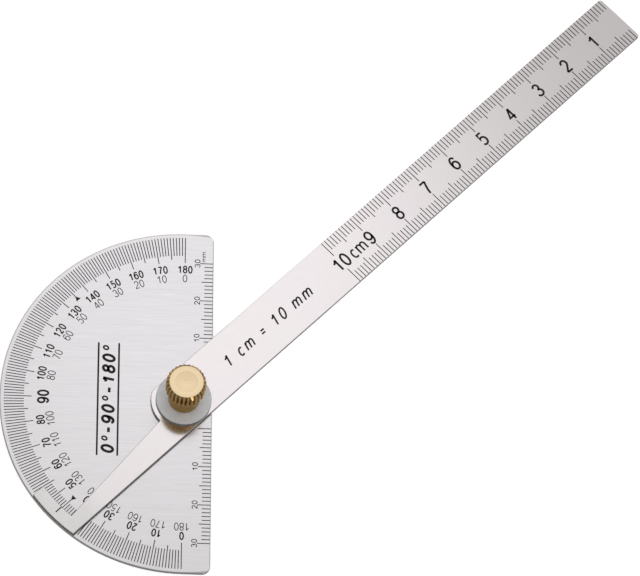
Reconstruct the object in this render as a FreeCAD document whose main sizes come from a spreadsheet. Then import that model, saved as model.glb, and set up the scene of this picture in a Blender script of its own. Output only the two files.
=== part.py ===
"""Angle finder with arms: a half-disc protractor head and a graduated arm that swings
over it on a clamping stud.

Frame: the origin is on the pivot axis at the underside of the protractor head.
+Z points up through the stud. +X points out of the head's straight edge.
The head's 0 degree line points along -Y and its 180 degree line along +Y.
Every length is in millimetres and every angle is in degrees.
"""
import math
import os

import FreeCAD
import Part
import Sketcher

VECTOR = FreeCAD.Vector

# Driving dimensions: name, value, what it is
DIMENSIONS = (
    ("plate_radius", 44.8, "rim of the half disc, from the pivot"),
    ("edge_offset", 7.0, "pivot to the head's straight edge"),
    ("plate_thickness", 1.0, "sheet thickness of the head"),
    ("corner_radius", 2.0, "rounded ends of the straight edge"),
    ("edge_break", 0.12, "broken sheet edges of head and arm"),
    ("rim_margin", 1.0, "bare rim outside the degree lines"),
    ("degree_line", 4.9, "length of a one degree line"),
    ("five_extra", 1.0, "how much longer a five degree line is"),
    ("ten_extra", 1.9, "how much longer a ten degree line is"),
    ("line_width", 0.22, "width of every graduation line"),
    ("line_depth", 0.06, "depth of every etched line"),
    ("arrow_size", 1.1, "height and base of the 45 and 135 degree arrows"),
    ("edge_zero", 7.0, "pivot to the zero of each edge scale"),
    ("edge_line", 2.2, "length of a millimetre line on the straight edge"),
    ("edge_five", 2.9, "length of a 5 mm line on the straight edge"),
    ("edge_ten", 3.3, "length of a 10 mm line on the straight edge"),
    ("title_near", 15.9, "pivot to the nearer of the two rules"),
    ("title_band", 5.0, "distance between the two rules"),
    ("title_length", 29.7, "length of the two rules"),
    ("rule_width", 0.3, "width of the two rules and of the index line"),
    ("arm_width", 13.9, "width of the arm"),
    ("arm_thickness", 1.0, "sheet thickness of the arm"),
    ("arm_reach", 154.25, "pivot to the square end of the arm"),
    ("arm_bare", 54.0, "arm beside the pivot with no graduations"),
    ("arm_corner", 0.8, "rounded corners of the square end"),
    ("arm_line", 3.05, "length of a millimetre line on the arm"),
    ("arm_five", 4.05, "length of a 5 mm line on the arm"),
    ("arm_ten", 4.6, "length of a 10 mm line on the arm"),
    ("boss_overhang", 1.05, "round boss beyond half the arm's width"),
    ("tail_root", 6.95, "width of the tail at the boss"),
    ("tail_tip", 3.7, "width of the tail at the foot"),
    ("foot_setback", 0.2, "foot inside the head's rim"),
    ("foot_depth", 3.4, "radial width of the foot"),
    ("index_length", 2.0, "index line on the foot"),
    ("rest_reading", 45.0, "angle read at the index when the arm is at rest"),
    ("face_gap", 0.02, "running gap between stacked faces"),
    ("stud_radius", 2.0, "shank of the pivot stud"),
    ("stud_head_radius", 3.2, "flush head of the pivot stud"),
    ("stud_point", 0.5, "bevel at the stud's point"),
    ("pivot_clearance", 0.04, "radial clearance of the arm on the stud"),
    ("washer_clearance", 0.1, "radial clearance of the washer on the stud"),
    ("thread_clearance", 0.03, "radial clearance of the nut on the stud"),
    ("washer_radius", 6.8, "outside of the flat washer"),
    ("washer_thickness", 0.8, "thickness of the flat washer"),
    ("thread_reach", 6.8, "length of stud inside the nut"),
    ("thread_spare", 0.9, "empty thread above the stud's point"),
    ("nut_cap", 2.8, "solid brass above the nut's blind bore"),
    ("nut_radius", 4.9, "outside of the nut's knurled head"),
    ("nut_head", 4.3, "height of the nut's knurled head"),
    ("nut_bevel", 0.75, "bevel around the top of the nut"),
    ("nut_shoulder", 0.3, "bevel under the nut's head"),
    ("collar_step", 1.05, "step from the knurled head in to the collar"),
    ("collar_break", 0.15, "bevel at the foot of the collar"),
    ("dish_radius", 2.9, "turned dish in the nut's top"),
    ("dish_depth", 0.12, "depth of the dish"),
    ("flute_depth", 0.42, "depth of a knurl flute"),
    ("flute_width", 0.84, "width of a knurl flute at the outside"),
)

DEGREE_SPAN = 180
FIVE_DEGREES = 5
TEN_DEGREES = 10
ARROW_ANGLES = (45, 135)
KNURL_COUNT = 28
MM_PER_CM = 10
MM_PER_HALF_CM = 5
OVERCUT = 0.5
OVERLAP = 0.1
VOLUME_STEP = 1e-4


def make_sheet(doc):
    """Spreadsheet of the driving dimensions, one alias for each."""
    sheet = doc.addObject("Spreadsheet::Sheet", "sizes")
    for row, (alias, value, note) in enumerate(DIMENSIONS, start=1):
        sheet.set(f"A{row}", str(value))
        sheet.setAlias(f"A{row}", alias)
        sheet.set(f"B{row}", note)
    doc.recompute()
    return sheet


def make_body(doc, label):
    """One separate piece, named as its file is."""
    body = doc.addObject("PartDesign::Body", label)
    body.Label = label
    return body


def origin_item(body, role):
    """A base plane or axis of the body."""
    return next(item for item in body.Origin.OriginFeatures if item.Role == role)


def make_sketch(body, name, plane="XY_Plane", height=None):
    """Sketch on a base plane, raised by a height from the sheet if one is given."""
    sketch = body.newObject("Sketcher::SketchObject", name)
    sketch.AttachmentSupport = [(origin_item(body, plane), "")]
    sketch.MapMode = "FlatFace"
    if height:
        sketch.setExpression("AttachmentOffset.Base.z", height)
    return sketch


def named_size(sketch, name, expression, kind, *where):
    """Constraint with a name, whose value follows the sheet."""
    index = sketch.addConstraint(Sketcher.Constraint(kind, *where))
    sketch.renameConstraint(index, name)
    sketch.setExpression(f"Constraints.{name}", expression)
    return index


def add_loop(sketch, points):
    """Closed outline of straight lines whose ends are joined. Returns the line numbers."""
    lines = []
    for start, end in zip(points, points[1:] + points[:1]):
        lines.append(sketch.addGeometry(Part.LineSegment(VECTOR(*start), VECTOR(*end)), False))
    for line, following in zip(lines, lines[1:] + lines[:1]):
        sketch.addConstraint(Sketcher.Constraint("Coincident", line, 2, following, 1))
    return lines


def size_of(sheet, name):
    return float(sheet.get(name))


def add_bar(sketch, sheet, label, start, length, width, along, offset=0.0):
    """Rectangle that runs along X or Y from a start, as long and wide as the sheet says.

    start, length, width and offset are expressions. A bar lies square to its axis and is
    centred on the line at the offset.
    """
    begin = evaluate(sheet, start)
    end = begin + evaluate(sheet, length)
    half = evaluate(sheet, width) / 2
    middle = evaluate(sheet, offset)
    corners = [(begin, middle - half), (end, middle - half), (end, middle + half), (begin, middle + half)]
    if along == "Y":
        corners = [(across, run) for run, across in corners]
    lines = add_loop(sketch, [(x, y, 0) for x, y in corners])
    run_kind, cross_kind = ("Horizontal", "Vertical") if along == "X" else ("Vertical", "Horizontal")
    for line, kind in zip(lines, (run_kind, cross_kind, run_kind, cross_kind)):
        sketch.addConstraint(Sketcher.Constraint(kind, line))
    run_size, cross_size = ("DistanceX", "DistanceY") if along == "X" else ("DistanceY", "DistanceX")
    named_size(sketch, f"{label}_start", start, run_size, -1, 1, lines[0], 1, begin)
    named_size(sketch, f"{label}_length", length, run_size, lines[0], 1, lines[0], 2, end - begin)
    named_size(sketch, f"{label}_width", width, cross_size, lines[1], 1, lines[1], 2, 2 * half)
    side = f"{offset} - ({width}) / 2"
    named_size(sketch, f"{label}_side", side, cross_size, -1, 1, lines[0], 1, middle - half)
    return lines


def evaluate(sheet, expression):
    """Value of an expression in sheet names, for the first place of a point."""
    if isinstance(expression, float):
        return expression
    value = sheet.evalExpression(expression.replace("sizes.", ""))
    return float(value)


def pad(body, sketch, name, length):
    feature = body.newObject("PartDesign::Pad", name)
    feature.Profile = sketch
    feature.setExpression("Length", length)
    return feature


def pocket(body, sketch, name, depth):
    """Cut that goes down from its sketch."""
    feature = body.newObject("PartDesign::Pocket", name)
    feature.Profile = sketch
    feature.setExpression("Length", depth)
    feature.Refine = False
    return feature


def through_hole(body, name, radius, height):
    """Round hole on the pivot axis, down from the given height."""
    sketch = make_sketch(body, f"{name}_circle", height=height)
    circle = sketch.addGeometry(Part.Circle(VECTOR(0, 0, 0), VECTOR(0, 0, 1), 1.0), False)
    sketch.addConstraint(Sketcher.Constraint("Coincident", circle, 3, -1, 1))
    named_size(sketch, "bore", radius, "Radius", circle, 1.0)
    return pocket(body, sketch, name, height)


def turn_pattern(body, sketch, name, step, count, originals=()):
    """Copies of a cut, each a step of degrees clockwise about the pivot from the last."""
    pattern = body.newObject("PartDesign::PolarPattern", name)
    pattern.Axis = (sketch, ["N_Axis"])
    pattern.Angle = step * (count - 1)
    pattern.Occurrences = count
    pattern.Reversed = True
    pattern.Refine = False
    pattern.Originals = list(originals)
    return pattern


def row_pattern(body, sketch, name, axis, count, backwards):
    """Copies of a centimetre of lines in a row. The count follows the sheet."""
    pattern = body.newObject("PartDesign::LinearPattern", name)
    pattern.Direction = (sketch, [axis])
    pattern.Reversed = backwards
    pattern.setExpression("Occurrences", count)
    pattern.setExpression("Length", f"({count} - 1) * {MM_PER_CM}")
    pattern.Refine = False
    return pattern


def mirror_copy(body, sketch, name, axis):
    """Mirror image across the pivot line that the axis names."""
    mirror = body.newObject("PartDesign::Mirrored", name)
    mirror.MirrorPlane = (sketch, [axis])
    mirror.Refine = False
    return mirror


def repeat_cut(body, cut, name, steps):
    """Copies of a cut by several patterns, each working on what the last one made."""
    repeat = body.newObject("PartDesign::MultiTransform", name)
    repeat.Originals = [cut]
    repeat.Transformations = steps
    repeat.Refine = False
    body.Tip = repeat
    return repeat


def break_edges(body, base, name, wanted, size):
    """Bevel on every edge of the base that the test picks out."""
    edges = [f"Edge{i}" for i, edge in enumerate(base.Shape.Edges, start=1) if wanted(edge)]
    feature = body.newObject("PartDesign::Chamfer", name)
    feature.Base = (base, edges)
    feature.setExpression("Size", size)
    body.Tip = feature
    return feature


def round_edges(body, base, name, wanted, radius):
    edges = [f"Edge{i}" for i, edge in enumerate(base.Shape.Edges, start=1) if wanted(edge)]
    feature = body.newObject("PartDesign::Fillet", name)
    feature.Base = (base, edges)
    feature.setExpression("Radius", radius)
    body.Tip = feature
    return feature


def is_upright(edge):
    box = edge.BoundBox
    return box.XLength < OVERLAP and box.YLength < OVERLAP


def is_flat_outline(edge):
    """Edge of the top or bottom face, as opposed to an upright one."""
    return edge.BoundBox.ZLength < VOLUME_STEP


# Protractor head

def head_outline(body):
    """Half disc that carries on square to its straight edge."""
    sketch = make_sketch(body, "head_outline")
    arc = Part.ArcOfCircle(Part.Circle(VECTOR(0, 0, 0), VECTOR(0, 0, 1), 44.0), math.pi / 2, 1.5 * math.pi)
    rim = sketch.addGeometry(arc, False)
    low = sketch.addGeometry(Part.LineSegment(VECTOR(0, -44, 0), VECTOR(7, -44, 0)), False)
    side = sketch.addGeometry(Part.LineSegment(VECTOR(7, -44, 0), VECTOR(7, 44, 0)), False)
    high = sketch.addGeometry(Part.LineSegment(VECTOR(7, 44, 0), VECTOR(0, 44, 0)), False)
    joins = ((rim, 2, low, 1), (low, 2, side, 1), (side, 2, high, 1), (high, 2, rim, 1), (rim, 3, -1, 1))
    for join in joins:
        sketch.addConstraint(Sketcher.Constraint("Coincident", *join))
    for line, kind in ((low, "Horizontal"), (side, "Vertical"), (high, "Horizontal")):
        sketch.addConstraint(Sketcher.Constraint(kind, line))
    sketch.addConstraint(Sketcher.Constraint("PointOnObject", rim, 1, -2))
    named_size(sketch, "rim_radius", "sizes.plate_radius", "Radius", rim, 44.0)
    named_size(sketch, "edge_place", "sizes.edge_offset", "DistanceX", -1, 1, low, 2, 7.0)
    return sketch


def degree_line(body, sheet, name, first, length):
    """Etched line at its first reading. The scale's own patterns repeat it."""
    sketch = make_sketch(body, f"{name}_sketch", height="sizes.plate_thickness")
    sketch.AttachmentOffset = FreeCAD.Placement(VECTOR(0, 0, 0), FreeCAD.Rotation(VECTOR(0, 0, 1), -first))
    sketch.setExpression("AttachmentOffset.Base.z", "sizes.plate_thickness")
    start = "-(sizes.plate_radius - sizes.rim_margin)"
    add_bar(sketch, sheet, "line", start, length, "sizes.line_width", "Y", 0.0)
    return sketch, pocket(body, sketch, f"{name}_first", "sizes.line_depth")


def degree_scale(body, sheet):
    """Lines at every degree from 0 on -Y round to 180 on +Y, longer at each 5 and 10."""
    tens = DEGREE_SPAN // TEN_DEGREES
    sketch, cut = degree_line(body, sheet, "ten_degrees", 0, "sizes.degree_line + sizes.ten_extra")
    body.Tip = turn_pattern(body, sketch, "ten_degree_lines", TEN_DEGREES, tens + 1, [cut])
    sketch, cut = degree_line(body, sheet, "five_degrees", FIVE_DEGREES, "sizes.degree_line + sizes.five_extra")
    body.Tip = turn_pattern(body, sketch, "five_degree_lines", TEN_DEGREES, tens, [cut])
    sketch, cut = degree_line(body, sheet, "degrees", 1, "sizes.degree_line")
    steps = [
        turn_pattern(body, sketch, "four_lines", 1, FIVE_DEGREES - 1),
        turn_pattern(body, sketch, "both_fives", FIVE_DEGREES, 2),
        turn_pattern(body, sketch, "all_tens", TEN_DEGREES, tens),
    ]
    repeat_cut(body, cut, "degree_lines", steps)


def arrow_marks(body, sheet):
    """Solid arrows whose points run a little way into the 45 and 135 degree lines."""
    sketch = make_sketch(body, "arrow_sketch", height="sizes.plate_thickness")
    line_end = size_of(sheet, "plate_radius") - size_of(sheet, "rim_margin")
    line_end -= size_of(sheet, "degree_line") + size_of(sheet, "five_extra")
    size = size_of(sheet, "arrow_size")
    lap = size_of(sheet, "line_width") / 2
    for reading in ARROW_ANGLES:
        angle = math.radians(reading)
        out = VECTOR(-math.sin(angle), -math.cos(angle), 0)
        across = VECTOR(-out.y, out.x, 0)
        point = out * (line_end + lap)
        base = out * (line_end + lap - size)
        corners = [point, base + across * (size / 2), base - across * (size / 2)]
        add_loop(sketch, [tuple(corner) for corner in corners])
    return pocket(body, sketch, "arrow_marks", "sizes.line_depth")


def line_kind(step, plain, five, ten):
    """Length of the line that many millimetres along a centimetre."""
    if step % MM_PER_CM == 0:
        return ten
    return five if step % MM_PER_HALF_CM == 0 else plain


def edge_scale(body, sheet):
    """Millimetre scales on the straight edge, one each way from the pivot."""
    lengths = ("sizes.edge_line", "sizes.edge_five", "sizes.edge_ten")

    def edge_bar(sketch, label, step, side=1):
        length = line_kind(step, *lengths)
        start = f"sizes.edge_offset - {length}"
        place = f"{side} * (sizes.edge_zero + {step})"
        add_bar(sketch, sheet, label, start, f"{length} + {OVERCUT}", "sizes.line_width", "X", place)

    zeros = make_sketch(body, "zero_sketch", height="sizes.plate_thickness")
    edge_bar(zeros, "upper", 0)
    edge_bar(zeros, "lower", 0, -1)
    pocket(body, zeros, "zero_lines", "sizes.line_depth")
    sketch = make_sketch(body, "edge_centimetre_sketch", height="sizes.plate_thickness")
    for step in range(1, MM_PER_CM + 1):
        edge_bar(sketch, f"line_{step}", step)
    cut = pocket(body, sketch, "edge_centimetre", "sizes.line_depth")
    room = "sizes.plate_radius - sizes.corner_radius - sizes.edge_zero"
    steps = [
        row_pattern(body, sketch, "edge_row", "V_Axis", f"floor(({room}) / {MM_PER_CM})", False),
        mirror_copy(body, sketch, "edge_mirror", "H_Axis"),
    ]
    repeat_cut(body, cut, "edge_scales", steps)


def title_rules(body, sheet):
    """Two parallel rules left of the pivot."""
    sketch = make_sketch(body, "title_rule_sketch", height="sizes.plate_thickness")
    start = "-sizes.title_length / 2"
    near = "-sizes.title_near"
    far = "-(sizes.title_near + sizes.title_band)"
    for label, place in (("near", near), ("far", far)):
        add_bar(sketch, sheet, label, start, "sizes.title_length", "sizes.rule_width", "Y", place)
    return pocket(body, sketch, "title_rules", "sizes.line_depth")


def make_protractor_head(doc, sheet):
    body = make_body(doc, "protractor_head")
    blank = pad(body, head_outline(body), "head_blank", "sizes.plate_thickness")
    doc.recompute()
    edge = size_of(sheet, "edge_offset")
    rounded = round_edges(
        body, blank, "head_corners",
        lambda item: is_upright(item) and abs(item.BoundBox.XMax - edge) < OVERLAP,
        "sizes.corner_radius")
    doc.recompute()
    break_edges(body, rounded, "head_edges", is_flat_outline, "sizes.edge_break")
    through_hole(body, "stud_seat", "sizes.stud_head_radius", "sizes.plate_thickness")
    title_rules(body, sheet)
    arrow_marks(body, sheet)
    edge_scale(body, sheet)
    degree_scale(body, sheet)
    return body


# Swinging arm

def arm_outline(body, sheet):
    """Strip, round boss, tapered tail and the foot that rides on the rim.

    The arm lies along +X with its tail along -X. Its lower side is one straight line.
    """
    half = size_of(sheet, "arm_width") / 2
    boss = half + size_of(sheet, "boss_overhang")
    outer = size_of(sheet, "plate_radius") - size_of(sheet, "foot_setback")
    inner = outer - size_of(sheet, "foot_depth")
    reach = size_of(sheet, "arm_reach")
    root_y = size_of(sheet, "tail_root") - half
    tip_y = size_of(sheet, "tail_tip") - half

    def on_circle(radius, y):
        return VECTOR(-math.sqrt(radius * radius - y * y), y, 0)

    def arc_through(start, end, radius):
        begin = math.atan2(start.y, start.x) % (2 * math.pi)
        finish = math.atan2(end.y, end.x) % (2 * math.pi)
        circle = Part.Circle(VECTOR(0, 0, 0), VECTOR(0, 0, 1), radius)
        return Part.ArcOfCircle(circle, begin, finish)

    boss_top = on_circle(boss, half)
    notch = on_circle(boss, root_y)
    tip = on_circle(inner, tip_y)
    foot_in = on_circle(inner, half)
    foot_out = on_circle(outer, half)
    heel = on_circle(outer, -half)
    low_end = VECTOR(reach, -half, 0)
    high_end = VECTOR(reach, half, 0)
    sketch = make_sketch(body, "arm_outline")
    low_side = sketch.addGeometry(Part.LineSegment(heel, low_end), False)
    end_face = sketch.addGeometry(Part.LineSegment(low_end, high_end), False)
    high_side = sketch.addGeometry(Part.LineSegment(high_end, boss_top), False)
    boss_arc = sketch.addGeometry(arc_through(boss_top, notch, boss), False)
    tail_side = sketch.addGeometry(Part.LineSegment(notch, tip), False)
    inner_arc = sketch.addGeometry(arc_through(foot_in, tip, inner), False)
    foot_side = sketch.addGeometry(Part.LineSegment(foot_in, foot_out), False)
    outer_arc = sketch.addGeometry(arc_through(foot_out, heel, outer), False)
    joins = (
        (low_side, 2, end_face, 1), (end_face, 2, high_side, 1), (high_side, 2, boss_arc, 1),
        (boss_arc, 2, tail_side, 1), (tail_side, 2, inner_arc, 2), (inner_arc, 1, foot_side, 1),
        (foot_side, 2, outer_arc, 1), (outer_arc, 2, low_side, 1),
        (boss_arc, 3, -1, 1), (inner_arc, 3, -1, 1), (outer_arc, 3, -1, 1),
    )
    for join in joins:
        sketch.addConstraint(Sketcher.Constraint("Coincident", *join))
    for line, kind in ((low_side, "Horizontal"), (end_face, "Vertical"),
                       (high_side, "Horizontal"), (foot_side, "Horizontal")):
        sketch.addConstraint(Sketcher.Constraint(kind, line))
    outer_size = "sizes.plate_radius - sizes.foot_setback"
    half_size = "sizes.arm_width / 2"
    named_size(sketch, "reach", "sizes.arm_reach", "DistanceX", -1, 1, low_side, 2, reach)
    named_size(sketch, "low_half", half_size, "DistanceY", low_side, 2, -1, 1, half)
    named_size(sketch, "high_half", half_size, "DistanceY", -1, 1, high_side, 2, half)
    named_size(sketch, "foot_half", half_size, "DistanceY", -1, 1, foot_side, 1, half)
    named_size(sketch, "boss_radius", f"{half_size} + sizes.boss_overhang", "Radius", boss_arc, boss)
    named_size(sketch, "outer_radius", outer_size, "Radius", outer_arc, outer)
    named_size(sketch, "inner_radius", f"{outer_size} - sizes.foot_depth", "Radius", inner_arc, inner)
    named_size(sketch, "root_width", "sizes.tail_root", "DistanceY", low_side, 2, tail_side, 1, root_y + half)
    named_size(sketch, "tip_width", "sizes.tail_tip", "DistanceY", low_side, 2, tail_side, 2, tip_y + half)
    return sketch


def arm_scale(body, sheet):
    """Millimetre lines on both sides of the arm, counted from its square end."""
    lengths = ("sizes.arm_line", "sizes.arm_five", "sizes.arm_ten")
    sketch = make_sketch(body, "arm_centimetre_sketch", height="sizes.arm_thickness")
    for step in range(1, MM_PER_CM + 1):
        length = line_kind(step, *lengths)
        start = f"sizes.arm_width / 2 - {length}"
        place = f"sizes.arm_reach - {step}"
        add_bar(sketch, sheet, f"line_{step}", start, f"{length} + {OVERCUT}", "sizes.line_width", "Y", place)
    cut = pocket(body, sketch, "arm_centimetre", "sizes.line_depth")
    count = f"floor((sizes.arm_reach - sizes.arm_bare) / {MM_PER_CM})"
    steps = [
        row_pattern(body, sketch, "arm_row", "H_Axis", count, True),
        mirror_copy(body, sketch, "arm_mirror", "H_Axis"),
    ]
    repeat_cut(body, cut, "arm_scales", steps)


def index_line(body, sheet):
    """Line on the foot, on the arm's centre line, that points at the degree scale."""
    sketch = make_sketch(body, "index_sketch", height="sizes.arm_thickness")
    inner = "-(sizes.plate_radius - sizes.foot_setback - sizes.foot_depth)"
    start = f"{inner} - sizes.index_length"
    add_bar(sketch, sheet, "index", start, f"sizes.index_length + {OVERLAP}", "sizes.rule_width", "X", 0.0)
    return pocket(body, sketch, "index_line", "sizes.line_depth")


def make_swing_arm(doc, sheet):
    body = make_body(doc, "swing_arm")
    blank = pad(body, arm_outline(body, sheet), "arm_blank", "sizes.arm_thickness")
    doc.recompute()
    reach = size_of(sheet, "arm_reach")
    rounded = round_edges(
        body, blank, "arm_corners",
        lambda item: is_upright(item) and abs(item.BoundBox.XMax - reach) < OVERLAP,
        "sizes.arm_corner")
    doc.recompute()
    break_edges(body, rounded, "arm_edges", is_flat_outline, "sizes.edge_break")
    through_hole(body, "pivot_hole", "sizes.stud_radius + sizes.pivot_clearance", "sizes.arm_thickness")
    index_line(body, sheet)
    arm_scale(body, sheet)
    body.setExpression("Placement.Base.z", "sizes.plate_thickness + sizes.face_gap")
    body.setExpression("Placement.Rotation.Angle", "(90 - sizes.rest_reading) * 1 deg")
    return body


# Turned pieces

def add_profile(sketch, sheet, corners):
    """Half section of a turned piece, in the XZ plane, as expressions of radius and height."""
    points = [(evaluate(sheet, radius), evaluate(sheet, height), 0) for radius, height in corners]
    lines = add_loop(sketch, points)
    for number, (line, (radius, height)) in enumerate(zip(lines, corners)):
        place = points[number]
        if radius == 0.0:
            sketch.addConstraint(Sketcher.Constraint("PointOnObject", line, 1, -2))
        else:
            named_size(sketch, f"radius_{number}", radius, "DistanceX", -1, 1, line, 1, place[0])
        if height == 0.0:
            sketch.addConstraint(Sketcher.Constraint("PointOnObject", line, 1, -1))
        else:
            named_size(sketch, f"height_{number}", height, "DistanceY", -1, 1, line, 1, place[1])


def turned(body, sheet, name, corners):
    """Solid of revolution about the pivot axis."""
    sketch = make_sketch(body, f"{name}_profile", plane="XZ_Plane")
    add_profile(sketch, sheet, corners)
    feature = body.newObject("PartDesign::Revolution", name)
    feature.Profile = sketch
    feature.ReferenceAxis = (sketch, ["V_Axis"])
    feature.Angle = 360
    body.Tip = feature
    return feature


def make_pivot_stud(doc, sheet):
    """Stud pressed into the head from below, its head flush with the underside."""
    body = make_body(doc, "pivot_stud")
    stack = "sizes.plate_thickness + sizes.arm_thickness + sizes.washer_thickness + 3 * sizes.face_gap"
    top = f"{stack} + sizes.thread_reach"
    corners = [
        (0.0, 0.0),
        ("sizes.stud_head_radius", 0.0),
        ("sizes.stud_head_radius", "sizes.plate_thickness"),
        ("sizes.stud_radius", "sizes.plate_thickness"),
        ("sizes.stud_radius", f"{top} - sizes.stud_point"),
        ("sizes.stud_radius - sizes.stud_point", top),
        (0.0, top),
    ]
    turned(body, sheet, "stud_turning", corners)
    return body


def make_flat_washer(doc, sheet):
    body = make_body(doc, "flat_washer")
    inner = "sizes.stud_radius + sizes.washer_clearance"
    bevel = "sizes.edge_break"
    corners = [
        (inner, 0.0),
        (f"sizes.washer_radius - {bevel}", 0.0),
        ("sizes.washer_radius", bevel),
        ("sizes.washer_radius", f"sizes.washer_thickness - {bevel}"),
        (f"sizes.washer_radius - {bevel}", "sizes.washer_thickness"),
        (inner, "sizes.washer_thickness"),
    ]
    turned(body, sheet, "washer_turning", corners)
    body.setExpression("Placement.Base.z", "sizes.plate_thickness + sizes.arm_thickness + 2 * sizes.face_gap")
    return body


def knurl_flutes(body, sheet):
    """Straight flutes around the nut's head, open at both its ends."""
    collar = "sizes.thread_reach + sizes.thread_spare + sizes.nut_cap - sizes.nut_head"
    sketch = make_sketch(body, "flute_sketch", height=collar)
    radius = size_of(sheet, "nut_radius")
    depth = size_of(sheet, "flute_depth")
    half = size_of(sheet, "flute_width") / 2
    slope = half / depth
    back = radius + OVERCUT
    spread = half + OVERCUT * slope
    corners = [(radius - depth, 0, 0), (back, -spread, 0), (back, spread, 0)]
    lines = add_loop(sketch, corners)
    sketch.addConstraint(Sketcher.Constraint("Vertical", lines[1]))
    sketch.addConstraint(Sketcher.Constraint("PointOnObject", lines[0], 1, -1))
    flute_slope = "(sizes.flute_width / 2) / sizes.flute_depth"
    spread_size = f"sizes.flute_width / 2 + {OVERCUT} * {flute_slope}"
    named_size(sketch, "root", "sizes.nut_radius - sizes.flute_depth", "DistanceX", -1, 1, lines[0], 1, radius - depth)
    named_size(sketch, "back", f"sizes.nut_radius + {OVERCUT}", "DistanceX", -1, 1, lines[0], 2, back)
    named_size(sketch, "low_spread", spread_size, "DistanceY", lines[1], 1, -1, 1, spread)
    named_size(sketch, "high_spread", spread_size, "DistanceY", -1, 1, lines[1], 2, spread)
    cut = pocket(body, sketch, "first_flute", "sizes.nut_head")
    cut.Reversed = True
    body.Tip = turn_pattern(body, sketch, "knurl_flutes", 360 / KNURL_COUNT, KNURL_COUNT, [cut])


def make_thumb_nut(doc, sheet):
    """Brass nut: knurled head on a plain collar, with a blind threaded bore."""
    body = make_body(doc, "thumb_nut")
    bore = "sizes.stud_radius + sizes.thread_clearance"
    bore_top = "sizes.thread_reach + sizes.thread_spare"
    height = f"{bore_top} + sizes.nut_cap"
    shoulder = f"{height} - sizes.nut_head"
    collar = "sizes.nut_radius - sizes.collar_step"
    corners = [
        (bore, 0.0),
        (f"{collar} - sizes.collar_break", 0.0),
        (collar, "sizes.collar_break"),
        (collar, shoulder),
        ("sizes.nut_radius - sizes.nut_shoulder", shoulder),
        ("sizes.nut_radius", f"{shoulder} + sizes.nut_shoulder"),
        ("sizes.nut_radius", f"{height} - sizes.nut_bevel"),
        ("sizes.nut_radius - sizes.nut_bevel", height),
        ("sizes.dish_radius", height),
        (0.0, f"{height} - sizes.dish_depth"),
        (0.0, bore_top),
        (bore, bore_top),
    ]
    turned(body, sheet, "nut_turning", corners)
    knurl_flutes(body, sheet)
    stack = "sizes.plate_thickness + sizes.arm_thickness + sizes.washer_thickness"
    body.setExpression("Placement.Base.z", f"{stack} + 3 * sizes.face_gap")
    return body


# Checks and files

def check_document(doc):
    """Every object is up to date and every cut has taken metal away."""
    for item in doc.Objects:
        if {"Invalid", "Error"} & set(item.State):
            raise RuntimeError(f"{item.Label} failed: {item.State}")
    cutting = ("PartDesign::Pocket", "PartDesign::PolarPattern", "PartDesign::MultiTransform",
               "PartDesign::Chamfer", "PartDesign::Fillet")
    for item in doc.Objects:
        if item.TypeId in cutting and getattr(item, "Originals", True):
            before = item.BaseFeature.Shape.Volume
            if item.Shape.Volume > before - VOLUME_STEP:
                raise RuntimeError(f"{item.Label} cut nothing")


def write_piece(body):
    shape = body.Shape
    if shape.isNull() or not shape.isValid() or len(shape.Solids) != 1:
        raise RuntimeError(f"{body.Label} is not one valid solid")
    shape.exportStep(os.path.join("parts", f"{body.Label}.step"))
    print(f"{body.Label}: {shape.Volume:.2f} mm3, {len(shape.Faces)} faces")


def main():
    doc = FreeCAD.newDocument("angle_finder")
    sheet = make_sheet(doc)
    makers = (make_protractor_head, make_pivot_stud, make_swing_arm, make_flat_washer, make_thumb_nut)
    bodies = [make(doc, sheet) for make in makers]
    doc.recompute()
    check_document(doc)
    os.makedirs("parts", exist_ok=True)
    for body in bodies:
        write_piece(body)


main()
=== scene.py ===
"""Looks of an angle finder with arms: steel and brass finishes, inked scales and numbers.

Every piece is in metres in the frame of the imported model, with its place in its mesh.
The file is laid out as an add-on: sizes and colours are properties, each group of
pieces has an operator, and main runs them all in order.
"""
import math

import bmesh
import bpy
from mathutils import Matrix, Vector


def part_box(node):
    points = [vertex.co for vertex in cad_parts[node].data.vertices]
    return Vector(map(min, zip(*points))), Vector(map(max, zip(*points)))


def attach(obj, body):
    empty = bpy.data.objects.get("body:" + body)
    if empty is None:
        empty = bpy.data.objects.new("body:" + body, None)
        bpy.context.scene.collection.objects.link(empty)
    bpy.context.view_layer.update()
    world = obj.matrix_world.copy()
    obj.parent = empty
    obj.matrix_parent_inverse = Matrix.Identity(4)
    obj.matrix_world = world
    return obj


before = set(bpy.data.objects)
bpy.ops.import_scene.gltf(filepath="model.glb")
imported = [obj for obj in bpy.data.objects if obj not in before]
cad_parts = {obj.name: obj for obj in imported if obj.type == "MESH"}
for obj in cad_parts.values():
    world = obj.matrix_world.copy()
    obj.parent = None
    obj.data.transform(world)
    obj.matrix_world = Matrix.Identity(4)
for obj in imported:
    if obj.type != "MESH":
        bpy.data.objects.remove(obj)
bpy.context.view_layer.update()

bl_info = {
    "name": "Angle Finder Looks",
    "version": (1, 0, 0),
    "blender": (4, 5, 0),
    "location": "3D View > Sidebar > Angle Finder",
    "description": "Finishes, inks and stages an angle finder with arms",
    "category": "Object",
}

MM = 0.001
HEAD_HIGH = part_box("protractor_head")[1]
RIM_RADIUS = HEAD_HIGH.y
EDGE_X = HEAD_HIGH.x
HEAD_TOP = HEAD_HIGH.z
ARM_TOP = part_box("swing_arm")[1].z

REST_READING = 45
ARM_ANGLE = math.radians(90 - REST_READING)
ARM_TURN = Matrix.Rotation(ARM_ANGLE, 4, "Z")
QUARTER_TURN = Matrix.Rotation(math.pi / 2, 4, "Z")
HALF_TURN = Matrix.Rotation(math.pi, 4, "Z")

# Counts of what repeats
DEGREE_LINES = 181
EDGE_LINES = 31
ARM_LINES = 100
KNURL_COUNT = 28
SOFTBOX_DISCS = 5

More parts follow.
